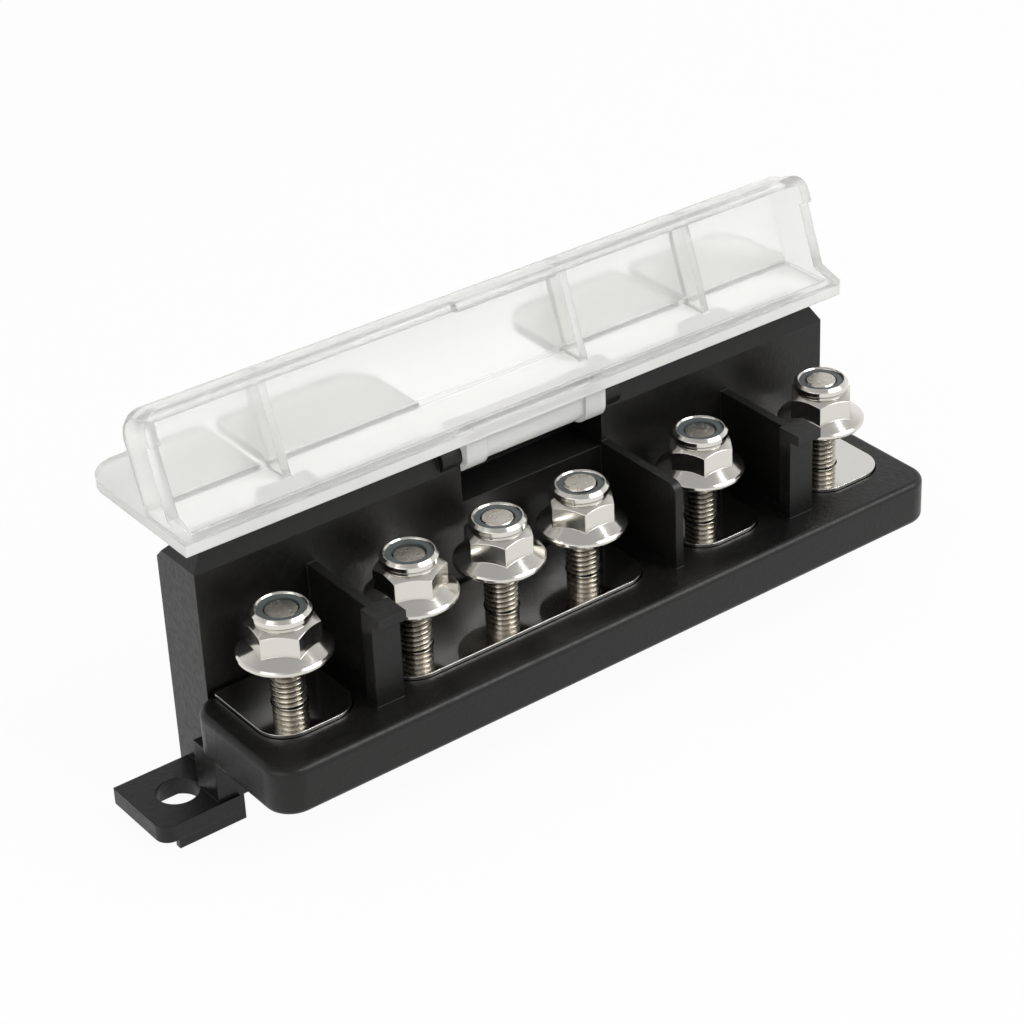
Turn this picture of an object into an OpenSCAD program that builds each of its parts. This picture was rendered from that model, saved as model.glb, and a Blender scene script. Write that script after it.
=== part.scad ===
// Power distribution block: a moulded housing carries four busbars with six M6 studs,
// flange lock nuts stand half way down the studs, and a clear hinged cover guards them.
// Origin: in the mounting plane, midway between the two mounting holes. The parts are drawn
// from the line of the studs and then moved back to that origin.

/* [Studs] */
// Distance from each outer stud to the end of the terminal block
end_margin = 13.1; // [12.2:0.1:20]
// Pitch from stud 1 to stud 2
pitch_1 = 25; // [24:0.1:40]
// Pitch from stud 2 to stud 3
pitch_2 = 18.2; // [17:0.1:40]
// Pitch from stud 3 to stud 4
pitch_3 = 17.8; // [17:0.1:40]
// Pitch from stud 4 to stud 5
pitch_4 = 27.1; // [24:0.1:40]
// Pitch from stud 5 to stud 6
pitch_5 = 29.2; // [24:0.1:40]
// Diameter of the stud thread
stud_d = 6; // [5:0.5:6]
// Height of the stud above the busbar
stud_h = 17.5; // [14:0.1:24]
// Width across the flats of the stud's hexagon head
head_af = 10; // [9:0.1:11]
// Height of the stud's hexagon head
head_h = 4; // [3:0.1:4.5]
// Chamfer at the tip of the stud
tip_chamfer = 0.5; // [0.2:0.05:0.8]

/* [Nuts] */
// Height of the nut's seat above the busbar
nut_seat = 9.2; // [0:0.1:10]
// Height of the nut's flange, hexagon and collar together
nut_h = 8.8; // [8:0.1:10]
// Width across the flats of the nut
nut_af = 10.8; // [10:0.1:11.2]
// Outer diameter of the nut's round collar
collar_d = 10; // [9.4:0.1:10]
// Diameter of the nut's flange
flange_d = 16.1; // [13:0.1:17]
// Thickness of the flange at its rim
flange_rim = 1.1; // [0.6:0.1:1.6]
// Height of the flange cone above its rim
flange_rise = 1.7; // [1:0.1:2]
// Height of the round collar above the hexagon
collar_h = 2.2; // [1.6:0.1:2.6]
// Outer diameter of the nylon ring
nylon_d = 8; // [7.4:0.1:8.6]
// Height of the nylon ring
nylon_h = 1.9; // [1:0.1:2.2]
// Depth of the nylon ring below the collar's rim
nylon_drop = 0.35; // [0.1:0.05:0.8]

/* [Busbars] */
// Distance from a busbar's end to its nearest stud
bar_margin = 8.6; // [7:0.1:9]
// Width of the busbars, from front to back
bar_w = 19; // [16:0.1:19.4]
// Distance that the busbars' middle lies behind the studs
bar_offset = 0.2; // [0:0.05:0.5]
// Thickness of the busbars
bar_t = 1.5; // [1:0.1:3]
// Radius of the busbars' front corners
bar_front_r = 5.6; // [1:0.1:6.5]
// Radius of the busbars' back corners
bar_back_r = 0.8; // [0.3:0.1:3]
// Height that the busbars stand proud of the terminal block
bar_proud = 0.7; // [0.2:0.1:0.9]

/* [Terminal block] */
// Distance from the studs to the front of the terminal block
block_front = 17; // [15:0.1:24]
// Thickness of the terminal block
block_t = 8.8; // [8.5:0.1:14]
// Height of the terminal block's underside above the mounting plane
block_lift = 13.5; // [9:0.1:20]
// Radius of the terminal block's corners, seen from above
block_r = 5; // [3:0.1:7]
// Rounding of the terminal block's top and bottom edges
block_edge = 1.2; // [0.5:0.1:2]

/* [Rear wall] */
// Distance from the studs to the wall's front face
wall_front = 10.4; // [10:0.1:12]
// Depth of the wall from front to back
wall_t = 13.6; // [12:0.1:18]
// Height of the wall above the terminal block
wall_rise = 26.4; // [24:0.1:32]
// Distance from the ends of the terminal block to the ends of the wall
wall_inset = 3.85; // [3:0.05:6]
// Height of the bevel along the wall's front top edge
bevel_h = 3.2; // [1:0.1:5]
// Depth of the bevel along the wall's front top edge
bevel_d = 1.1; // [0.4:0.1:1.1]
// Height of the slope along the wall's back top edge
slope_h = 6.6; // [3:0.1:8]
// Depth of the slope along the wall's back top edge
slope_d = 6.4; // [3:0.1:7]
// Wall thickness around the cores that open below
core_wall = 2.4; // [1.8:0.1:3]
// Number of cores inside the wall
core_count = 8; // [4:1:10]
// Thickness of the solid top above the cores
core_roof = 13; // [12.5:0.1:18]

/* [Dividers] */
// Thickness of the dividers
divider_t = 1.7; // [1.2:0.1:2.4]
// Height of the dividers above the busbars
divider_h = 16.2; // [12:0.1:17]
// Distance from the studs to the front of the dividers
divider_reach = 10.4; // [8:0.1:12]
// Width of the posts at the front of the two outer dividers
post_w = 5.4; // [3:0.1:6]
// Depth of the posts
post_d = 3; // [2:0.1:4]
// Height of the cap on each post
cap_h = 1.9; // [1:0.1:3]
// Distance that the cap reaches forward of its post
cap_reach = 2.1; // [1:0.1:2.4]
// Distance that the posts stand forward of the dividers
post_lead = 0.5; // [0.2:0.1:1]

/* [Mounting feet] */
// Distance from the ends of the terminal block to the holes
hole_out = 2.95; // [2.8:0.05:8]
// Distance that the mounting holes lie behind the studs
hole_back = 11.7; // [10:0.1:14]
// Diameter of the mounting holes
hole_d = 7.2; // [5:0.1:8]
// Distance from the hole to the outer end of the ear
ear_out = 7.6; // [6:0.1:12]
// Width of the ear from front to back
ear_w = 15.6; // [12:0.1:18]
// Thickness of the ear
ear_t = 3.2; // [2:0.1:5]
// Height of the ear's underside above the mounting plane
ear_lift = 2.3; // [1:0.1:3]
// Distance that the foot under the ear stops short of its outer end
foot_step = 3.2; // [2:0.1:5]
// Distance that the foot stands back from the ear's front and back edges
foot_inset = 0.6; // [0.2:0.1:1.5]
// Thickness of the leg between the foot and the terminal block
leg_t = 4.8; // [3:0.1:6]
// Distance that the leg reaches in under the end of the wall
leg_in = 1.5; // [0.5:0.1:2.5]

/* [Hinge] */
// Width of the notch for the hinge
notch_w = 30.6; // [24:0.1:34]
// Depth of the notch below the top of the wall
notch_h = 10.2; // [9:0.1:12]
// Depth of the notch from the wall's front face
notch_d = 8.6; // [8:0.1:9.4]
// Distance from the wall's front face back to the hinge line
hinge_back = 1.7; // [1.5:0.1:2.2]
// Distance from the top of the wall down to the hinge line
hinge_down = 0.9; // [0.7:0.1:1.2]
// Diameter of the round knuckles beside the notch
knuckle_d = 4.8; // [4.4:0.1:5]
// Width of the round knuckles beside the notch
knuckle_w = 4; // [3:0.1:6]
// Diameter of the hinge trunnions
trunnion_d = 2.6; // [2:0.1:2.8]
// Width of the stop pads on top of the wall
pad_w = 10; // [6:0.1:12]
// Gap that the stop pads leave under the rear web
pad_gap = 0.1; // [0.05:0.05:0.3]
// Running clearance between moving parts
clearance = 0.25; // [0.15:0.05:0.3]

/* [Cover] */
// Thickness of the cover's panel, lip and rear web
cover_t = 1.9; // [1.4:0.1:2.4]
// Angle at which the opened cover leans back
cover_lean = 20.5; // [16:0.5:24]
// Length of the panel from the rear web to the lip
panel_len = 18.9; // [17:0.1:24]
// Depth of the lip along the front of the cover
lip_depth = 11.2; // [9:0.1:13]
// Depth of the cover's end walls
end_depth = 10.1; // [8:0.1:12]
// Thickness of the cover's end walls
end_t = 2.1; // [1.4:0.1:2.6]
// Depth of the ribs inside the cover
rib_depth = 6.7; // [4:0.1:9]
// Thickness of the ribs inside the cover
rib_t = 1.5; // [1:0.1:2]
// Outer radius between the panel and the lip
lip_r = 5; // [3:0.1:6]
// Height of the rear web above the top of the wall when the cover is open
web_lift = 2.5; // [2.2:0.1:3]
// Depth of the rear web in front of the hinge line
web_reach = 4.3; // [3.8:0.1:4.5]
// Distance from the hinge line back to the foot of the panel
foot_back = 9.7; // [9:0.1:12]
// Height of the bead along the rear web's front edge
bead_h = 3; // [2:0.1:4]
// Length of the finger tab on the lip
tab_len = 21; // [10:0.5:40]
// Height of the finger tab beyond the lip's edge
tab_h = 1.8; // [1:0.1:3]
// Length of the tongues behind the panel
tongue_len = 19; // [10:0.1:26]
// Radius of the tongues' outer corners
tongue_r = 6.5; // [2:0.1:8]
// Gap between tongues beside a divider
tongue_gap = 2.4; // [1:0.1:6]

/* [Hidden] */
$fn = 64;
cut = 0.5; // how far cutting bodies pass the faces that they cut

// Places along the length
pitches = [pitch_1, pitch_2, pitch_3, pitch_4, pitch_5];
function stud_at(i) = i == 0 ? 0 : stud_at(i - 1) + pitches[i - 1];
stud_span = stud_at(5);
stud_x = [for (i = [0:5]) stud_at(i) - stud_span / 2];
bars = [[0, 0], [1, 3], [4, 4], [5, 5]]; // first and last stud on each busbar
divider_x = [for (b = [0:2]) (stud_x[bars[b][1]] + stud_x[bars[b + 1][0]]) / 2];
nut_turn = [21.5, 30, 4.5, -1, -3, -13];    // each nut stopped at its own angle
nut_rise = [0.1, 0.3, -0.2, -0.6, 0.2, -0.3]; // and at its own height

// Heights above the mounting plane
block_top = block_lift + block_t;
bar_top = block_top + bar_proud;
bar_floor = bar_top - bar_t;
head_top = block_lift + block_edge + head_h;
wall_top = block_top + wall_rise;
divider_top = bar_top + divider_h;
hinge_z = wall_top - hinge_down;
web_z = wall_top + web_lift;

// Nut
nut_r = collar_d / 2;
nut_shoulder = nut_h - collar_h; // height of the hexagon's top above the nut's seat
groove_d = 0.35;                 // depth of the groove under the collar

// Places from front to back
bar_y = bar_offset - bar_w / 2;
wall_back = wall_front + wall_t;
hinge_y = wall_front + hinge_back;
foot_y = hinge_y + foot_back;
web_y = hinge_y - web_reach;
ear_front = hole_back - ear_w / 2;

block_half = stud_span / 2 + end_margin;
wall_half = block_half - wall_inset;
cover_half = wall_half + clearance + end_t;
hole_x = block_half + hole_out;
ear_end = hole_x + ear_out;
notch_half = notch_w / 2;
lug_half = notch_half - clearance;
lug_w = 4.4;         // width of the lugs at the ends of the hinge barrel
lug_r = 3.5;         // radius of those lugs
barrel_r = 2.9;      // radius of the hinge barrel between them
knuckle_floor = 0.8; // plastic left at the blind end of the trunnion bores
stud_fit = 0.15;     // clearance around the studs and busbars in the moulding
bore_fit = 0.08;     // clearance around the hinge trunnions

// Extrude a profile drawn in the Y-Z plane along X from x0 to x1
module along_x(x0, x1) {
    translate([x0, 0, 0]) rotate([90, 0, 90]) linear_extrude(x1 - x0) children();
}

// Cylinder along X
module rod_x(x0, x1, y, z, d) {
    translate([x0, y, z]) rotate([0, 90, 0]) cylinder(h = x1 - x0, d = d);
}

// Hexagonal prism standing on z0, with its width given across the flats
module hex(af, z0, h) {
    translate([0, 0, z0]) cylinder(h = h, d = af / cos(30), $fn = 6);
}

// Half profile of a plate with rounded edges: reaches r from the axis, h high
module soft_profile(r, h, edge) {
    translate([0, edge]) square([r, h - 2 * edge]);
    square([r - edge, h]);
    for (z = [edge, h - edge])
        translate([r - edge, z]) circle(edge, $fn = 32);
}

// Slab with rounded corners and softened top and bottom edges
module soft_slab(x, y0, y1, z0, h, r, edge) {
    for (sx = [-1, 1], y = [y0 + r, y1 - r])
        translate([sx * (x - r), y, z0])
            rotate_extrude() intersection() {
                soft_profile(r, h, edge);
                square([r, h]);
            }
    for (side = [0, 1]) {
        translate([0, side == 0 ? y0 + r : y1 - r, z0])
            rotate([90, 0, side == 0 ? -90 : 90])
                linear_extrude(2 * (x - r), center = true) soft_profile(r, h, edge);
        translate([side == 0 ? r - x : x - r, (y0 + y1) / 2, z0])
            rotate([90, 0, side == 0 ? 180 : 0])
                linear_extrude(y1 - y0 - 2 * r, center = true) soft_profile(r, h, edge);
    }
    translate([r - x, y0 + r, z0]) cube([2 * (x - r), y1 - y0 - 2 * r, h]);
}

// Outline of a busbar, grown all round by a clearance
module bar_outline(b, grow) {
    x0 = stud_x[bars[b][0]] - bar_margin - grow;
    x1 = stud_x[bars[b][1]] + bar_margin + grow;
    y0 = bar_y - grow;
    y1 = bar_y + bar_w + grow;
    rf = bar_front_r;
    rb = bar_back_r;
    translate([x0, y0 + rf]) square([x1 - x0, y1 - y0 - rf - rb]);
    translate([x0 + rf, y0]) square([x1 - x0 - 2 * rf, rf]);
    translate([x0 + rb, y1 - rb]) square([x1 - x0 - 2 * rb, rb]);
    for (x = [x0 + rf, x1 - rf])
        translate([x, y0 + rf]) circle(rf);
    for (x = [x0 + rb, x1 - rb])
        translate([x, y1 - rb]) circle(rb, $fn = 32);
}

// Rear wall: its section, its front outline with bevelled ends, and its plan
module wall_body() {
    end_w = 2;
    end_h = 3;
    back_c = 1.8;
    intersection() {
        along_x(-wall_half, wall_half)
            polygon([
                [wall_front, 0],
                [wall_back, 0],
                [wall_back, wall_top - slope_h],
                [wall_back - slope_d, wall_top],
                [wall_front + bevel_d, wall_top],
                [wall_front, wall_top - bevel_h]
            ]);
        translate([0, wall_back + cut, 0]) rotate([90, 0, 0]) linear_extrude(wall_t + 2 * cut)
            polygon([
                [-wall_half, 0],
                [wall_half, 0],
                [wall_half, wall_top - end_h],
                [wall_half - end_w, wall_top],
                [end_w - wall_half, wall_top],
                [-wall_half, wall_top - end_h]
            ]);
        linear_extrude(wall_top)
            polygon([
                [-wall_half, wall_front],
                [wall_half, wall_front],
                [wall_half, wall_back - back_c],
                [wall_half - back_c, wall_back],
                [back_c - wall_half, wall_back],
                [-wall_half, wall_back - back_c]
            ]);
    }
}

// Cores that open in the mounting plane and keep the wall an even thickness
module wall_cores() {
    core_pitch = (2 * wall_half - core_wall) / core_count;
    for (i = [0:core_count - 1])
        translate([core_wall - wall_half + i * core_pitch, wall_front + core_wall, -cut])
            cube([core_pitch - core_wall, wall_t - 2 * core_wall, wall_top - core_roof + cut]);
}

// Divider webs, with a capped post at the front of the two outer ones
module dividers() {
    foot = block_top - cut;
    corner_r = 2;
    cap_rise = cap_h / 2; // height of the caps above the dividers
    for (x = divider_x)
        along_x(x - divider_t / 2, x + divider_t / 2) {
            translate([-divider_reach, foot])
                square([divider_reach + wall_front + cut, divider_top - foot - corner_r]);
            translate([corner_r - divider_reach, foot])
                square([divider_reach + wall_front + cut - corner_r, divider_top - foot]);
            translate([corner_r - divider_reach, divider_top - corner_r])
                circle(corner_r, $fn = 32);
        }
    for (x = [divider_x[0], divider_x[2]]) {
        translate([x - post_w / 2, -divider_reach - post_lead, foot])
            cube([post_w, post_d, divider_top - foot]);
        translate([x - post_w / 2, -divider_reach - post_lead - cap_reach,
                   divider_top + cap_rise - cap_h])
            cube([post_w, post_d + cap_reach, cap_h]);
    }
}

// Mounting ear, foot and leg at the +X end
module mounting_foot() {
    ear_r = 2.5;
    foot_end = ear_end - foot_step;
    leg_x = wall_half - leg_in;
    foot_front = ear_front + foot_inset;
    translate([0, 0, ear_lift]) linear_extrude(ear_t) {
        translate([wall_half - cut, ear_front]) square([ear_end - ear_r - wall_half + cut, ear_w]);
        translate([wall_half - cut, ear_front + ear_r])
            square([ear_end - wall_half + cut, ear_w - ear_r]);
        translate([ear_end - ear_r, ear_front + ear_r]) circle(ear_r, $fn = 32);
    }
    translate([leg_x, foot_front, 0])
        cube([foot_end - leg_x, ear_w - 2 * foot_inset, ear_lift + cut]);
    translate([leg_x, foot_front, 0])
        cube([leg_t, wall_front - foot_front + cut, block_lift + block_edge]);
}

// Notch in the top of the wall with flared shoulders, seen from the front
module notch() {
    flare = 2.4;
    translate([0, wall_front + notch_d, 0]) rotate([90, 0, 0])
        linear_extrude(notch_d + bar_w) {
            translate([-notch_half, wall_top - notch_h])
                square([notch_w, notch_h + knuckle_d]);
            for (s = [-1, 1])
                difference() {
                    translate([s * notch_half + (s < 0 ? -flare : 0), wall_top - flare])
                        square([flare, flare + knuckle_d]);
                    translate([s * (notch_half + flare), wall_top - flare]) circle(flare);
                }
        }
}

// Move what is drawn from the line of the studs to the origin between the mounting holes
module from_studs() {
    translate([0, -hole_back, 0]) children();
}

// Round knuckles on both sides of the notch
module hinge_knuckles() {
    for (s = [-1, 1])
        rod_x(s < 0 ? -notch_half - knuckle_w : notch_half,
              s < 0 ? -notch_half : notch_half + knuckle_w, hinge_y, hinge_z, knuckle_d);
}

// Pads behind the hinge line that the rear web comes down on
module stop_pads() {
    pad_front = wall_front + 2 * bevel_d;
    for (x = divider_x)
        translate([x - pad_w / 2, pad_front, wall_top - cut])
            cube([pad_w, wall_back - slope_d - pad_front, web_lift - pad_gap + cut]);
}

// Black moulding with pockets for the busbars and the studs' heads
module housing() {
    color([0.06, 0.06, 0.06])
    from_studs() difference() {
        union() {
            soft_slab(block_half, -block_front, wall_front, block_lift, block_t,
                      block_r, block_edge);
            difference() {
                union() {
                    wall_body();
                    stop_pads();
                }
                wall_cores();
                notch();
            }
            // the wall meets the terminal block along its whole back
            translate([block_r - block_half, 0, block_lift])
                cube([2 * (block_half - block_r), wall_front + core_wall, block_t]);
            dividers();
            hinge_knuckles();
            for (s = [0, 1]) mirror([s, 0, 0]) mounting_foot();
        }
        for (b = [0:3])
            translate([0, 0, bar_floor])
                linear_extrude(bar_t) bar_outline(b, stud_fit);
        for (x = stud_x)
            translate([x, 0, 0]) {
                hex(head_af + 2 * stud_fit, block_lift - cut, head_top - block_lift + cut);
                translate([0, 0, head_top - cut])
                    cylinder(h = bar_top, d = stud_d + 2 * stud_fit);
            }
        for (s = [-1, 1])
            translate([s * hole_x, hole_back, -cut])
                cylinder(h = ear_lift + ear_t + 2 * cut, d = hole_d);
        bore_depth = knuckle_w - knuckle_floor;
        rod_x(-notch_half - bore_depth, notch_half + bore_depth, hinge_y, hinge_z,
              trunnion_d + 2 * bore_fit);
    }
}

// Busbar with a hole for each of its studs
module busbar(b) {
    color([0.85, 0.84, 0.80])
    from_studs() translate([0, 0, bar_floor])
        difference() {
            linear_extrude(bar_t) bar_outline(b, 0);
            for (i = [bars[b][0]:bars[b][1]])
                translate([stud_x[i], 0, -cut])
                    cylinder(h = bar_t + 2 * cut, d = stud_d + 2 * stud_fit);
        }
}

// Stud: a hexagon head held in the block from below, and a plain shank for the thread
module stud(i) {
    tip = bar_top + stud_h;
    color([0.70, 0.69, 0.66])
    from_studs() translate([stud_x[i], 0, 0]) {
        hex(head_af, head_top - head_h, head_h);
        rotate_extrude()
            polygon([
                [0, head_top - head_h / 2],
                [stud_d / 2, head_top - head_h / 2],
                [stud_d / 2, tip - tip_chamfer],
                [stud_d / 2 - tip_chamfer, tip],
                [0, tip]
            ]);
    }
}

// Profile of the lock nut as if turned: conical flange, round body, groove and collar
module nut_profile() {
    rim_c = 0.3;     // chamfers on the flange's rim
    seat_c = 0.25;   // chamfer around the nut's seat and around the nylon's mouth
    groove_w = 0.45; // width of the groove under the collar
    collar_c = 0.55; // rounding of the collar's rim
    nylon_floor = nut_h - nylon_drop - nylon_h;
    polygon([
        [stud_d / 2, 0],
        [flange_d / 2 - seat_c, 0],
        [flange_d / 2, rim_c],
        [flange_d / 2, flange_rim - rim_c],
        [flange_d / 2 - rim_c, flange_rim],
        [nut_r, flange_rim + flange_rise],
        [nut_r, nut_shoulder - groove_d],
        [nut_r - groove_d, nut_shoulder],
        [nut_r - groove_d, nut_shoulder + groove_w],
        [nut_r, nut_shoulder + groove_w + groove_d],
        [nut_r, nut_h - collar_c],
        [nut_r - collar_c, nut_h],
        [nylon_d / 2 + seat_c, nut_h],
        [nylon_d / 2, nut_h - seat_c],
        [nylon_d / 2, nylon_floor],
        [stud_d / 2, nylon_floor]
    ]);
}

// Flange lock nut: the turned profile with a hexagon, its upper corners rounded by a cone
module lock_nut(i) {
    corner_r = nut_af / cos(30) / 2;
    corner_drop = 0.9; // height that the cone takes off the hexagon's corners
    bore_in = 1;       // wall left between the stud and the hexagon's solid
    color([0.82, 0.81, 0.77])
    from_studs() translate([stud_x[i], 0, bar_top + nut_seat + nut_rise[i]])
        rotate([0, 0, nut_turn[i]]) {
            rotate_extrude() nut_profile();
            difference() {
                intersection() {
                    hex(nut_af, flange_rim / 2, nut_shoulder - flange_rim / 2);
                    rotate_extrude()
                        polygon([
                            [0, 0],
                            [corner_r, 0],
                            [corner_r, nut_shoulder - corner_drop],
                            [nut_r - groove_d, nut_shoulder],
                            [0, nut_shoulder]
                        ]);
                }
                cylinder(h = 3 * nut_h, d = stud_d + 2 * bore_in, center = true);
            }
        }
}

// Nylon locking ring in the nut's collar
module nylon_insert(i) {
    top = bar_top + nut_seat + nut_rise[i] + nut_h - nylon_drop;
    color([0.33, 0.38, 0.40])
    from_studs() translate([stud_x[i], 0, top - nylon_h])
        difference() {
            cylinder(h = nylon_h, d = nylon_d);
            translate([0, 0, -cut]) cylinder(h = nylon_h + 2 * cut, d = stud_d);
        }
}

// Frame of the opened panel in the Y-Z plane: +Y runs up the panel, -X into the cover
module panel_frame() {
    translate([foot_y, web_z]) rotate(-cover_lean) children();
}

// Area enclosed by the panel and lip, drawn back by t from their outer faces
module panel_area(t, depth) {
    r = lip_r - t;
    low = -panel_len;
    translate([-depth, low]) square([depth - t - r, panel_len - low - t]);
    translate([-depth, low]) square([depth - t, panel_len - low - t - r]);
    translate([-t - r, panel_len - t - r]) circle(r);
}

// Everything above the underside of the rear web
module above_web() {
    intersection() {
        children();
        translate([web_y, web_z]) square(3 * panel_len);
    }
}

// End wall of the cover with a deeper corner at the lip and a toe for the rear web's bead
module end_wall() {
    corner_l = 3 * cover_t; // length of the deeper corner along the panel
    toe_rise = 1.6;         // height of the toe's crest above the bead
    toe_back = 0.8;         // distance from the hinge line back to that crest
    along_x(0, end_t) {
        above_web() panel_frame() panel_area(0, end_depth);
        above_web() panel_frame()
            translate([-lip_depth, panel_len - corner_l]) square([lip_depth / 2, corner_l]);
        polygon([
            [web_y, web_z],
            [foot_y, web_z],
            [foot_y, web_z + bead_h],
            [hinge_y + toe_back, web_z + bead_h + toe_rise],
            [web_y, web_z + bead_h]
        ]);
    }
}

// Flat tongue behind the panel from x0 to x1, its outer corners wide or small
module tongue(x0, x1, round_left, round_right) {
    y1 = foot_y + tongue_len;
    small_r = 1.5;
    rl = round_left ? tongue_r : small_r;
    rr = round_right ? tongue_r : small_r;
    translate([0, 0, web_z]) linear_extrude(cover_t) {
        translate([x0, hinge_y]) square([x1 - x0, y1 - hinge_y - tongue_r]);
        translate([x0 + rl, hinge_y]) square([x1 - x0 - rl - rr, y1 - hinge_y]);
        translate([x0, hinge_y]) square([rl, y1 - hinge_y - rl]);
        translate([x1 - rr, hinge_y]) square([rr, y1 - hinge_y - rr]);
        translate([x0 + rl, y1 - rl]) circle(rl);
        translate([x1 - rr, y1 - rr]) circle(rr);
    }
}

// Clear cover, drawn as it stands open
module cover() {
    in_x = cover_half - end_t;
    color([0.90, 0.92, 0.92, 0.6])
    from_studs() {
        // panel, lip and finger tab
        along_x(-in_x - cut, in_x + cut)
            above_web() panel_frame() intersection() {
                difference() {
                    panel_area(0, lip_depth);
                    panel_area(cover_t, lip_depth + cut);
                }
                translate([-lip_depth, -panel_len])
                    square([lip_depth, 2 * panel_len]);
            }
        along_x(-tab_len / 2, tab_len / 2)
            panel_frame()
                translate([-lip_depth - tab_h, panel_len - cover_t])
                    square([tab_h + 2 * lip_r / 3, cover_t]);
        // rear web with its bead
        translate([-in_x - cut, web_y, web_z]) cube([2 * (in_x + cut), foot_y - web_y, cover_t]);
        translate([-in_x - cut, web_y, web_z]) cube([2 * (in_x + cut), cover_t, bead_h]);
        for (s = [0, 1]) mirror([s, 0, 0]) translate([in_x, 0, 0]) end_wall();
        // ribs above the dividers
        for (x = divider_x)
            along_x(x - rib_t / 2, x + rib_t / 2)
                above_web() panel_frame() intersection() {
                    panel_area(cover_t / 2, lip_depth);
                    translate([-rib_depth, -panel_len])
                        square([rib_depth, 2 * panel_len]);
                }
        // tongues, parted at the outer dividers and at the hinge
        tongue(-cover_half, divider_x[0] - tongue_gap / 2, true, false);
        tongue(divider_x[0] + tongue_gap / 2, -notch_half, false, true);
        tongue(notch_half, divider_x[2] - tongue_gap / 2, true, false);
        tongue(divider_x[2] + tongue_gap / 2, cover_half, false, true);
        // hinge barrel with a lug and a trunnion at each end
        along_x(-lug_half, lug_half) {
            translate([hinge_y - barrel_r, hinge_z]) square([2 * barrel_r, web_z - hinge_z + cut]);
            translate([hinge_y, hinge_z]) circle(barrel_r);
        }
        for (s = [0, 1]) mirror([s, 0, 0])
            along_x(lug_half - lug_w, lug_half) {
                translate([hinge_y, hinge_z]) circle(lug_r);
                translate([hinge_y - lug_r, hinge_z])
                    square([2 * lug_r, web_z - hinge_z + cut]);
            }
        trunnion_end = notch_half + knuckle_w - knuckle_floor - clearance;
        rod_x(-trunnion_end, trunnion_end, hinge_y, hinge_z, trunnion_d);
    }
}

housing();
cover();
busbar(0);  // busbar_1
busbar(1);  // busbar_2
busbar(2);  // busbar_3
busbar(3);  // busbar_4
stud(0);  // stud_1
stud(1);  // stud_2
stud(2);  // stud_3
stud(3);  // stud_4
stud(4);  // stud_5
stud(5);  // stud_6
lock_nut(0);  // lock_nut_1
lock_nut(1);  // lock_nut_2
lock_nut(2);  // lock_nut_3
lock_nut(3);  // lock_nut_4
lock_nut(4);  // lock_nut_5
lock_nut(5);  // lock_nut_6
nylon_insert(0);  // nylon_insert_1
nylon_insert(1);  // nylon_insert_2
nylon_insert(2);  // nylon_insert_3
nylon_insert(3);  // nylon_insert_4
nylon_insert(4);  // nylon_insert_5
nylon_insert(5);  // nylon_insert_6
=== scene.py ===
"""Looks of the power distribution block: materials, threads, lights and camera.

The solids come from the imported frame. Here the moulding, the clear cover and the plated metal
get their finish, each stud gets its rolled thread, and two small cuts are made: round ends on
the cover, and feet that are hollow below the mounting holes. Lengths are in metres.
"""

import math

import bmesh
import bpy
from mathutils import Matrix, Vector


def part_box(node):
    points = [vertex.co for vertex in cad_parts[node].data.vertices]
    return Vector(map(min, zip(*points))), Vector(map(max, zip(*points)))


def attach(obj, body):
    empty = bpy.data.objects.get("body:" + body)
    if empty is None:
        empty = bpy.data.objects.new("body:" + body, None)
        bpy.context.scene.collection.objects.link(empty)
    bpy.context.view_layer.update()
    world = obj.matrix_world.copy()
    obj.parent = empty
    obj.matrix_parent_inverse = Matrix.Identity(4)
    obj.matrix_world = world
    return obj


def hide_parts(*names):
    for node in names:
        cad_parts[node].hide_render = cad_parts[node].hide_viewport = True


MM = 0.001

# Camera: where it stands, which way it looks, and the photograph's framing
CAMERA_AT = Vector((-253.9, -350.4, 292.0)) * MM
CAMERA_AZIMUTH = math.radians(-41.25)
CAMERA_ELEVATION = math.radians(29.53)
CAMERA_ROLL = math.radians(0.1)
CAMERA_LENS = 100.1
CAMERA_SHIFT = (-0.2399, -0.0861)

# Studs: M6 coarse thread above the busbar, smooth shank and hexagon head below
THREAD_PITCH = 1.0 * MM
THREAD_DEPTH = 0.613 * THREAD_PITCH
THREAD_ROOT_END = 1 / 4  # where in a turn the root ends, and where the crest starts and ends
THREAD_CREST_START = 9 / 16
THREAD_CREST_END = 11 / 16
THREAD_ROWS = 4  # rows of vertices in a turn: both ends of the root and of the crest
STUD_RADIUS = 3.0 * MM
TIP_CHAMFER = 0.35 * MM
HEAD_HEIGHT = 4.0 * MM
HEAD_FACE = 0.95  # radius of the head's round end face, as a share of half its width
HEAD_CHAMFER = math.radians(30)
TURN_STEPS = 72  # steps around a stud
WELD = 0.002 * MM
STUD_SHARP = math.radians(35)  # edges of the studs sharper than this stay crisp

# Opened cover: the panel's foot, lean and length to the lip, and its rounded ends
PANEL_FOOT = Vector((0, 10.1, 51.2)) * MM
PANEL_LEAN = math.radians(20.5)
PANEL_LENGTH = 18.9 * MM
PANEL_WALL = 1.9 * MM
LIP_RADIUS = 5.0 * MM
LIP_DEPTH = 11.2 * MM
TONGUE_TOP = PANEL_FOOT.z + PANEL_WALL
END_RADIUS = 3.6 * MM
ARC_STEPS = 12

# Cuts: how far a cutter stands out of the solid, and which edges stay crisp after a cut
CUT_MARGIN = 0.5 * MM
CUT_SHARP = math.radians(30)

# Mounting ears: how far the foot is hollow below each hole, from the foot's outer end inward
EAR_LIFT = 2.3 * MM
FOOT_END = 79.1 * MM
POCKET_REACH = 10.6 * MM
POCKET_WIDTH = 12.0 * MM

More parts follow.
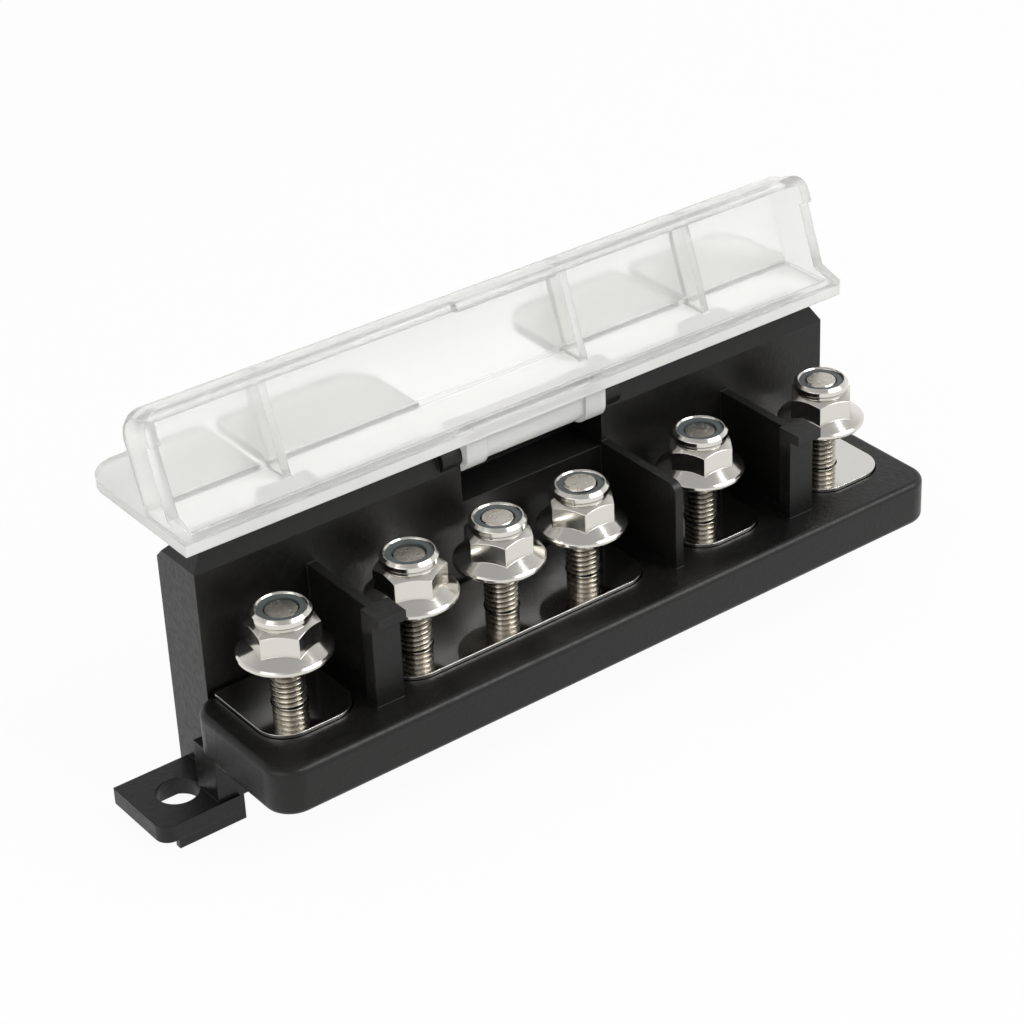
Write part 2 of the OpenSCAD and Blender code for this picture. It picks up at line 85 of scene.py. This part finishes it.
# Studio levels: light on the object from all around, and how bright overhead looks in metal,
# between two heights of the view direction
AMBIENT = 0.45
DOME_TOP = 0.5
DOME_FROM = 0.25
DOME_TO = 0.85

# Floor: half its side, its own grey, and the share of white glow that the camera sees
FLOOR_HALF = 3.0
FLOOR_GREY = 0.85
FLOOR_GLOW = 0.95

# Softboxes: place, side and power, all aimed at the middle of the part
AIM = Vector((0, 0, 0.03))
SOFTBOXES = {
    "key": (Vector((0.55, -0.65, 0.9)), 0.7, 9),
    "fill": (Vector((-0.9, -0.3, 0.6)), 0.8, 3),
}

STUDS = range(1, 7)
BUSBARS = range(1, 5)


# ---------------------------------------------------------------- node helpers


class Shader:
    """A material's node tree around one Principled shader."""

    def __init__(self, name):
        self.material = bpy.data.materials.new(name)
        self.material.use_nodes = True
        self.tree = self.material.node_tree
        self.surface = self.tree.nodes["Principled BSDF"]
        self.place = self.node("ShaderNodeTexCoord").outputs["Object"]

    def node(self, kind, inputs=None, **settings):
        """Add a node, set its properties, and set or link its inputs."""
        made = self.tree.nodes.new(kind)
        for key, value in settings.items():
            setattr(made, key, value)
        for key, value in (inputs or {}).items():
            self.feed(made.inputs[key], value)
        return made

    def feed(self, socket, value):
        if isinstance(value, bpy.types.NodeSocket):
            self.tree.links.new(value, socket)
        else:
            socket.default_value = value

    def set(self, **values):
        """Set or link the shader's own sockets, named with _ for a space."""
        for key, value in values.items():
            self.feed(self.surface.inputs[key.replace("_", " ")], value)

    def noise(self, size, detail=3.0, roughness=0.5, stretch=(1, 1, 1)):
        """Noise whose features are about the given size."""
        placed = self.node(
            "ShaderNodeMapping", {"Vector": self.place, "Scale": stretch}
        )
        return self.node(
            "ShaderNodeTexNoise",
            {
                "Vector": placed.outputs["Vector"],
                "Scale": 1 / size,
                "Detail": detail,
                "Roughness": roughness,
            },
        ).outputs["Fac"]

    def span(self, value, low, high, to_low, to_high):
        """Map a value from low..high onto to_low..to_high, held at the ends."""
        return self.node(
            "ShaderNodeMapRange",
            {
                "Value": value,
                "From Min": low,
                "From Max": high,
                "To Min": to_low,
                "To Max": to_high,
            },
        ).outputs["Result"]

    def tint(self, value, dark, light):
        """Blend two colours by a value from 0 to 1."""
        ramp = self.node("ShaderNodeValToRGB", {"Fac": value})
        ramp.color_ramp.elements[0].color = (*dark, 1)
        ramp.color_ramp.elements[1].color = (*light, 1)
        return ramp.outputs["Color"]

    def bump(self, height, distance, strength=1.0, normal=None):
        inputs = {"Height": height, "Distance": distance, "Strength": strength}
        if normal is not None:
            inputs["Normal"] = normal
        return self.node("ShaderNodeBump", inputs).outputs["Normal"]

    def creases(self, reach, low, high):
        """Ambient-occlusion value from 0 in creases to 1 in the open, judged within a reach: the
        mask for painted shade in creases.
        """
        unshaded_share = self.node(
            "ShaderNodeAmbientOcclusion", {"Distance": reach}, samples=8
        ).outputs["AO"]
        return self.span(unshaded_share, low, high, 0, 1)

    def rounded(self, radius):
        """Shading normal with edges rounded to a radius."""
        return self.node(
            "ShaderNodeBevel", {"Radius": radius}, samples=6
        ).outputs["Normal"]


# ---------------------------------------------------------------- materials


def black_moulding():
    """Glass-filled black nylon: fine grain, faint flow mottling, soft worn edges."""
    m = Shader("black_moulding")
    grain = m.noise(0.22 * MM, detail=4)
    pores = m.noise(0.9 * MM, detail=2)
    flow = m.noise(14 * MM, detail=3, stretch=(0.35, 1, 1))
    soft = m.rounded(0.25 * MM)
    skin = m.bump(grain, 0.05 * MM, 0.6, soft)
    skin = m.bump(pores, 0.1 * MM, 0.45, skin)
    m.set(
        Base_Color=m.tint(flow, (0.0020, 0.0020, 0.0021), (0.0080, 0.0075, 0.0066)),
        Roughness=m.span(pores, 0.3, 0.7, 0.32, 0.44),
        Normal=skin,
    )
    m.set(IOR=1.4)
    return m.material


def clear_moulding():
    """Clear polycarbonate: faint ripple and slight haze, and painted shade up to the tongues'
    top, where less light passes through.
    """
    m = Shader("clear_moulding")
    ripple = m.noise(9 * MM, detail=2)
    haze = m.noise(2.5 * MM, detail=3)
    height = m.node("ShaderNodeSeparateXYZ", {"Vector": m.place}).outputs["Z"]
    m.set(
        Base_Color=(0.985, 0.985, 0.97, 1),
        Roughness=m.span(haze, 0.35, 0.65, 0.17, 0.24),
        Normal=m.bump(ripple, 0.3 * MM, 0.25, m.rounded(0.3 * MM)),
    )
    # Lower transmission up to the tongues' top greys them: painted shade of the floor beneath
    # them.
    m.set(
        IOR=1.3,
        Transmission_Weight=m.span(height, TONGUE_TOP, TONGUE_TOP + 0.5 * MM, 0.46, 0.8),
    )
    return m.material


def plated_bar():
    """Bright tin plate: near mirror with faint rolling marks along the bar."""
    m = Shader("plated_bar")
    rolling = m.noise(0.35 * MM, detail=3, stretch=(0.06, 1, 1))
    cloud = m.noise(6 * MM, detail=3)
    m.set(
        Base_Color=m.tint(cloud, (0.74, 0.73, 0.69), (0.83, 0.82, 0.78)),
        Roughness=m.span(cloud, 0.3, 0.7, 0.07, 0.13),
        Normal=m.bump(rolling, 0.004 * MM, 0.35, m.rounded(0.15 * MM)),
    )
    m.set(Metallic=1.0)
    return m.material


def plated_nut():
    """Bright zinc plate on forged steel: small dents, soft edges, and painted shade darkening the
    creases.
    """
    m = Shader("plated_nut")
    dents = m.noise(0.8 * MM, detail=3)
    cloud = m.noise(2.5 * MM, detail=3)
    # Colour darkened in creases by ambient occlusion: painted shade.
    unshaded_share = m.creases(1.6 * MM, 0.35, 0.85)
    m.set(
        Base_Color=m.tint(unshaded_share, (0.28, 0.26, 0.23), (0.70, 0.68, 0.63)),
        Roughness=m.span(cloud, 0.3, 0.7, 0.11, 0.19),
        Normal=m.bump(dents, 0.015 * MM, 0.4, m.rounded(0.18 * MM)),
    )
    m.set(Metallic=1.0)
    return m.material


def rolled_thread():
    """Plated steel of the studs: warmer and rougher than the nuts, with painted shade darkening
    the thread roots.
    """
    m = Shader("rolled_thread")
    cloud = m.noise(1.2 * MM, detail=4)
    # Colour darkened in the thread roots by ambient occlusion: painted shade.
    unshaded_share = m.creases(0.7 * MM, 0.35, 0.85)
    m.set(
        Base_Color=m.tint(unshaded_share, (0.06, 0.05, 0.04), (0.66, 0.62, 0.56)),
        Roughness=m.span(cloud, 0.3, 0.7, 0.2, 0.3),
        Normal=m.bump(cloud, 0.01 * MM, 0.2),
    )
    m.set(Metallic=1.0)
    return m.material


def locking_nylon():
    """Blue-grey nylon of the locking rings, slightly waxy."""
    m = Shader("locking_nylon")
    cloud = m.noise(0.7 * MM, detail=3)
    m.set(
        Base_Color=m.tint(cloud, (0.055, 0.066, 0.068), (0.095, 0.11, 0.112)),
        Roughness=m.span(cloud, 0.3, 0.7, 0.34, 0.46),
        Normal=m.bump(cloud, 0.03 * MM, 0.3),
    )
    return m.material


def dress(node, material):
    """Give a CAD node its finished material in every slot."""
    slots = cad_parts[node].data.materials
    if not slots:
        slots.append(material)
    for i in range(len(slots)):
        slots[i] = material


# ---------------------------------------------------------------- cuts


def prism_mesh(name, prisms):
    """Mesh of closed prisms, each given as rings of points."""
    mesh = bmesh.new()
    for rings in prisms:
        loops = [[mesh.verts.new(point) for point in ring] for ring in rings]
        for low, high in zip(loops, loops[1:]):
            for i in range(len(low)):
                n = (i + 1) % len(low)
                mesh.faces.new((low[i], low[n], high[n], high[i]))
        mesh.faces.new(loops[0])
        mesh.faces.new(list(reversed(loops[-1])))
    bmesh.ops.recalc_face_normals(mesh, faces=mesh.faces)
    data = bpy.data.meshes.new(name)
    mesh.to_mesh(data)
    mesh.free()
    return data


def add_cut(name, node, prisms):
    """Take prisms away from a CAD node. The hidden cutter moves with the node."""
    cutter = bpy.data.objects.new(name, prism_mesh(name, prisms))
    bpy.context.scene.collection.objects.link(cutter)
    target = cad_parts[node]
    bpy.context.view_layer.update()
    cutter.parent = target
    cutter.matrix_parent_inverse = target.matrix_world.inverted()
    cutter.hide_render = True
    cut = target.modifiers.new(name, "BOOLEAN")
    cut.operation = "DIFFERENCE"
    cut.object = cutter
    split = target.modifiers.new("edges", "EDGE_SPLIT")
    split.split_angle = CUT_SHARP


def quarter(radius):
    """Points of a quarter turn as pairs (radius * cos, radius * sin), from 0 to 90 degrees."""
    angles = [math.pi / 2 * step / ARC_STEPS for step in range(ARC_STEPS + 1)]
    return [(radius * math.cos(a), radius * math.sin(a)) for a in angles]


def panel_path():
    """Points and normals of the cover's outer face up the panel and over the lip, and way up."""
    up = Vector((0, math.sin(PANEL_LEAN), math.cos(PANEL_LEAN)))
    out = Vector((0, math.cos(PANEL_LEAN), -math.sin(PANEL_LEAN)))
    middle = PANEL_FOOT + up * (PANEL_LENGTH - LIP_RADIUS) - out * LIP_RADIUS
    turn = [
        (middle + out * c + up * s, (out * c + up * s).normalized())
        for c, s in quarter(LIP_RADIUS)
    ]
    past_lip = middle + up * LIP_RADIUS - out * LIP_DEPTH
    return [(PANEL_FOOT, out), *turn, (past_lip, up)], up


def end_rounding(side):
    """Prism that leaves a round edge along one end of the cover."""
    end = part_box("cover")[1].x
    inner, outer = end - END_RADIUS, end + CUT_MARGIN
    outline = [(inner, CUT_MARGIN), (outer, CUT_MARGIN), (outer, -END_RADIUS)]
    outline += [(inner + c, s - END_RADIUS) for c, s in quarter(END_RADIUS)]
    path, up = panel_path()
    rings = [
        [Vector((side * x, 0, 0)) + point + normal * depth for x, depth in outline]
        for point, normal in path
    ]
    rings[0] = [point + up * ((TONGUE_TOP - point.z) / up.z) for point in rings[0]]
    return rings


def foot_pocket(side):
    """Prism that hollows the foot of an ear from below, so that its hole looks through."""
    half = POCKET_WIDTH / 2
    inner, outer = FOOT_END - POCKET_REACH, FOOT_END + 2 * CUT_MARGIN
    corners = ((inner, -half), (outer, -half), (outer, half), (inner, half))
    return [
        [(side * x, y, z) for x, y in corners] for z in (-2 * CUT_MARGIN, EAR_LIFT)
    ]


# ---------------------------------------------------------------- studs


def hexagon(angle, flat):
    """Distance from a hexagon's axis to its side, with a corner at angle 0."""
    return flat / math.cos((angle % (math.pi / 3)) - math.pi / 6)


class Lathe:
    """Mesh drawn as rings around a vertical axis."""

    def __init__(self, axis):
        self.mesh = bmesh.new()
        self.axis = axis
        self.angles = [2 * math.pi * j / TURN_STEPS for j in range(TURN_STEPS)]

    def vertex(self, angle, radius, z):
        return self.mesh.verts.new(
            (
                self.axis.x + radius * math.cos(angle),
                self.axis.y + radius * math.sin(angle),
                z,
            )
        )

    def ring(self, radius, height):
        """Ring whose radius and height are functions of the angle."""
        return [self.vertex(a, radius(a), height(a)) for a in self.angles]

    def circle(self, radius, z):
        return self.ring(lambda a: radius, lambda a: z)

    def skin(self, low, high):
        for j in range(TURN_STEPS):
            n = (j + 1) % TURN_STEPS
            self.mesh.faces.new((low[j], low[n], high[n], high[j]))

    def cap(self, ring, z, up):
        """Close a ring with a flat fan that faces up or down."""
        middle = self.mesh.verts.new((self.axis.x, self.axis.y, z))
        for j in range(TURN_STEPS):
            pair = (ring[j], ring[(j + 1) % TURN_STEPS])
            self.mesh.faces.new((*(pair if up else reversed(pair)), middle))


def thread_rows(low, high, crest):
    """Height and radius of each row of the thread's profile: root, flanks and crest."""
    root = crest - THREAD_DEPTH
    turn = (
        (0, root),
        (THREAD_ROOT_END, root),
        (THREAD_CREST_START, crest),
        (THREAD_CREST_END, crest),
    )
    turns = math.ceil((high - low) / THREAD_PITCH) + 1
    return [
        (low + (t - 1 + part) * THREAD_PITCH, radius)
        for t in range(turns + 1)
        for part, radius in turn
    ]


def add_thread(lathe, low, high, crest):
    """Helical thread between two heights. The last step of a row joins the row a turn above."""
    rows = thread_rows(low, high, crest)
    per_turn = THREAD_ROWS
    tip = crest - TIP_CHAMFER

    def place(row, j):
        z, radius = rows[row]
        z = z + THREAD_PITCH * j / TURN_STEPS
        if z >= high:
            return lathe.vertex(lathe.angles[j], tip, high)
        radius = min(radius, tip + (high - z))
        return lathe.vertex(lathe.angles[j], radius, max(z, low))

    grid = [[place(row, j) for j in range(TURN_STEPS)] for row in range(len(rows))]
    for row in range(len(rows) - 1):
        for j in range(TURN_STEPS):
            if j + 1 < TURN_STEPS:
                corners = (
                    grid[row][j],
                    grid[row][j + 1],
                    grid[row + 1][j + 1],
                    grid[row + 1][j],
                )
            elif row + 1 + per_turn < len(rows):
                corners = (
                    grid[row][j],
                    grid[row + per_turn][0],
                    grid[row + 1 + per_turn][0],
                    grid[row + 1][j],
                )
            else:
                continue
            lathe.mesh.faces.new(corners)


def threaded_stud(number, material, bar_top):
    """Stud with a chamfered hexagon head, and a thread from just below the busbar's top up."""
    node = f"stud_{number}"
    low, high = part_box(node)
    lathe = Lathe((low + high) / 2)
    flat = (high.y - low.y) / 2
    face = HEAD_FACE * flat
    slope = math.tan(HEAD_CHAMFER)
    head_top = low.z + HEAD_HEIGHT
    thread_low = bar_top - THREAD_PITCH

    def side(a):
        return hexagon(a, flat)

    bottom = lathe.circle(face, low.z)
    chamfer = lathe.ring(side, lambda a: low.z + (side(a) - face) * slope)
    shoulder = lathe.ring(side, lambda a: head_top)
    neck = lathe.circle(STUD_RADIUS, head_top)
    shank = lathe.circle(STUD_RADIUS, thread_low)
    root = lathe.circle(STUD_RADIUS - THREAD_DEPTH, thread_low)
    lathe.cap(bottom, low.z, up=False)
    rings = (bottom, chamfer, shoulder, neck, shank, root)
    for pair in zip(rings, rings[1:]):
        lathe.skin(*pair)
    add_thread(lathe, thread_low, high.z, STUD_RADIUS)
    lathe.cap(lathe.circle(STUD_RADIUS - TIP_CHAMFER, high.z), high.z, up=True)

    bmesh.ops.remove_doubles(lathe.mesh, verts=lathe.mesh.verts, dist=WELD)
    bmesh.ops.dissolve_degenerate(lathe.mesh, edges=lathe.mesh.edges, dist=WELD)
    mesh = bpy.data.meshes.new(f"threaded_{node}")
    lathe.mesh.to_mesh(mesh)
    lathe.mesh.free()
    for polygon in mesh.polygons:
        polygon.use_smooth = True
    mesh.set_sharp_from_angle(angle=STUD_SHARP)
    mesh.materials.append(material)
    piece = bpy.data.objects.new(mesh.name, mesh)
    bpy.context.scene.collection.objects.link(piece)
    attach(piece, "base")
    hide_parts(node)


# ---------------------------------------------------------------- studio


def either(tree, path, names):
    """Socket that is 1 when any of the named light path outputs is 1."""
    total = path.outputs[names[0]]
    for name in names[1:]:
        add = tree.nodes.new("ShaderNodeMath")
        add.operation = "MAXIMUM"
        tree.links.new(total, add.inputs[0])
        tree.links.new(path.outputs[name], add.inputs[1])
        total = add.outputs[0]
    return total


def blend(tree, share, low, high):
    """Socket that goes from low to high as share goes from 0 to 1."""
    mix = tree.nodes.new("ShaderNodeMix")
    tree.links.new(share, mix.inputs["Factor"])
    for name, value in (("A", low), ("B", high)):
        if isinstance(value, bpy.types.NodeSocket):
            tree.links.new(value, mix.inputs[name])
        else:
            mix.inputs[name].default_value = value
    return mix.outputs["Result"]


def add_floor():
    """Pale floor that looks white to the camera and keeps a faint shadow."""
    mesh = bpy.data.meshes.new("floor")
    half = FLOOR_HALF
    corners = [(-half, -half, 0), (half, -half, 0), (half, half, 0), (-half, half, 0)]
    mesh.from_pydata(corners, [], [(0, 1, 2, 3)])
    floor = bpy.data.objects.new("floor", mesh)
    bpy.context.scene.collection.objects.link(floor)
    material = bpy.data.materials.new("floor")
    material.use_nodes = True
    tree = material.node_tree
    tree.nodes.remove(tree.nodes["Principled BSDF"])
    path = tree.nodes.new("ShaderNodeLightPath")
    seen = either(tree, path, ("Is Camera Ray", "Is Glossy Ray", "Is Transmission Ray"))
    matt = tree.nodes.new("ShaderNodeBsdfDiffuse")
    matt.inputs["Color"].default_value = (FLOOR_GREY, FLOOR_GREY, FLOOR_GREY, 1)
    glow = tree.nodes.new("ShaderNodeEmission")
    glow.inputs["Strength"].default_value = 1.0
    share = tree.nodes.new("ShaderNodeMath")
    share.operation = "MULTIPLY"
    share.inputs[1].default_value = FLOOR_GLOW
    mix = tree.nodes.new("ShaderNodeMixShader")
    tree.links.new(seen, share.inputs[0])
    tree.links.new(share.outputs[0], mix.inputs["Fac"])
    tree.links.new(matt.outputs[0], mix.inputs[1])
    tree.links.new(glow.outputs[0], mix.inputs[2])
    tree.links.new(mix.outputs[0], tree.nodes["Material Output"].inputs["Surface"])
    mesh.materials.append(material)


def set_world():
    """White to the camera and through the cover; in gloss greyer overhead than at the horizon."""
    world = bpy.data.worlds.new("studio")
    bpy.context.scene.world = world
    world.use_nodes = True
    tree = world.node_tree
    path = tree.nodes.new("ShaderNodeLightPath")
    seen = either(tree, path, ("Is Camera Ray", "Is Transmission Ray"))

    way = tree.nodes.new("ShaderNodeSeparateXYZ")
    tree.links.new(tree.nodes.new("ShaderNodeTexCoord").outputs["Generated"], way.inputs[0])
    dome = tree.nodes.new("ShaderNodeMapRange")
    dome.inputs["From Min"].default_value = DOME_FROM
    dome.inputs["From Max"].default_value = DOME_TO
    dome.inputs["To Min"].default_value = 1.0
    dome.inputs["To Max"].default_value = DOME_TOP
    tree.links.new(way.outputs["Z"], dome.inputs["Value"])

    level = blend(tree, path.outputs["Is Glossy Ray"], AMBIENT, dome.outputs["Result"])
    level = blend(tree, seen, level, 1.0)
    back = tree.nodes["Background"]
    back.inputs["Color"].default_value = (1, 1, 1, 1)
    tree.links.new(level, back.inputs["Strength"])


def add_softbox(name, place, size, power):
    """Square area light that faces the middle of the part. Power is in watts."""
    lamp = bpy.data.lights.new(name, "AREA")
    lamp.size = size
    lamp.energy = power
    box = bpy.data.objects.new(name, lamp)
    bpy.context.scene.collection.objects.link(box)
    box.location = place
    box.rotation_euler = (AIM - box.location).to_track_quat("-Z", "Y").to_euler()


def add_camera():
    """Camera at the photograph's viewing angle and framing."""
    lens = bpy.data.cameras.new("camera")
    lens.lens = CAMERA_LENS
    lens.sensor_width = 36
    lens.shift_x, lens.shift_y = CAMERA_SHIFT
    lens.clip_start = 0.01
    camera = bpy.data.objects.new("camera", lens)
    bpy.context.scene.collection.objects.link(camera)
    turn = (
        Matrix.Rotation(CAMERA_AZIMUTH, 4, "Z")
        @ Matrix.Rotation(math.pi / 2 - CAMERA_ELEVATION, 4, "X")
        @ Matrix.Rotation(CAMERA_ROLL, 4, "Z")
    )
    camera.matrix_world = Matrix.Translation(CAMERA_AT) @ turn
    bpy.context.scene.camera = camera


# ---------------------------------------------------------------- the scene

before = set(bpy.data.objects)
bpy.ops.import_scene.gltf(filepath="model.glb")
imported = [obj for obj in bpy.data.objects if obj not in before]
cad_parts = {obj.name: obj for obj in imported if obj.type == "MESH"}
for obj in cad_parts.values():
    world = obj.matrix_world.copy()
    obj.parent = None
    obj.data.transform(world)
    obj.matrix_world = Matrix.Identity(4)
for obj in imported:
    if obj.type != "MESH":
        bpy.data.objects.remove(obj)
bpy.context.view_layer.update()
add_camera()

bar_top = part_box("busbar_1")[1].z

dress("housing", black_moulding())
dress("cover", clear_moulding())
bar = plated_bar()
for n in BUSBARS:
    dress(f"busbar_{n}", bar)
nut = plated_nut()
nylon = locking_nylon()
thread = rolled_thread()
for n in STUDS:
    dress(f"lock_nut_{n}", nut)
    dress(f"nylon_insert_{n}", nylon)
    threaded_stud(n, thread, bar_top)

add_cut("cover_ends", "cover", [end_rounding(side) for side in (-1, 1)])
add_cut("foot_pockets", "housing", [foot_pocket(side) for side in (-1, 1)])

add_floor()
set_world()
for name, (place, size, power) in SOFTBOXES.items():
    add_softbox(name, place, size, power)

bpy.context.scene.view_settings.view_transform = "Standard"
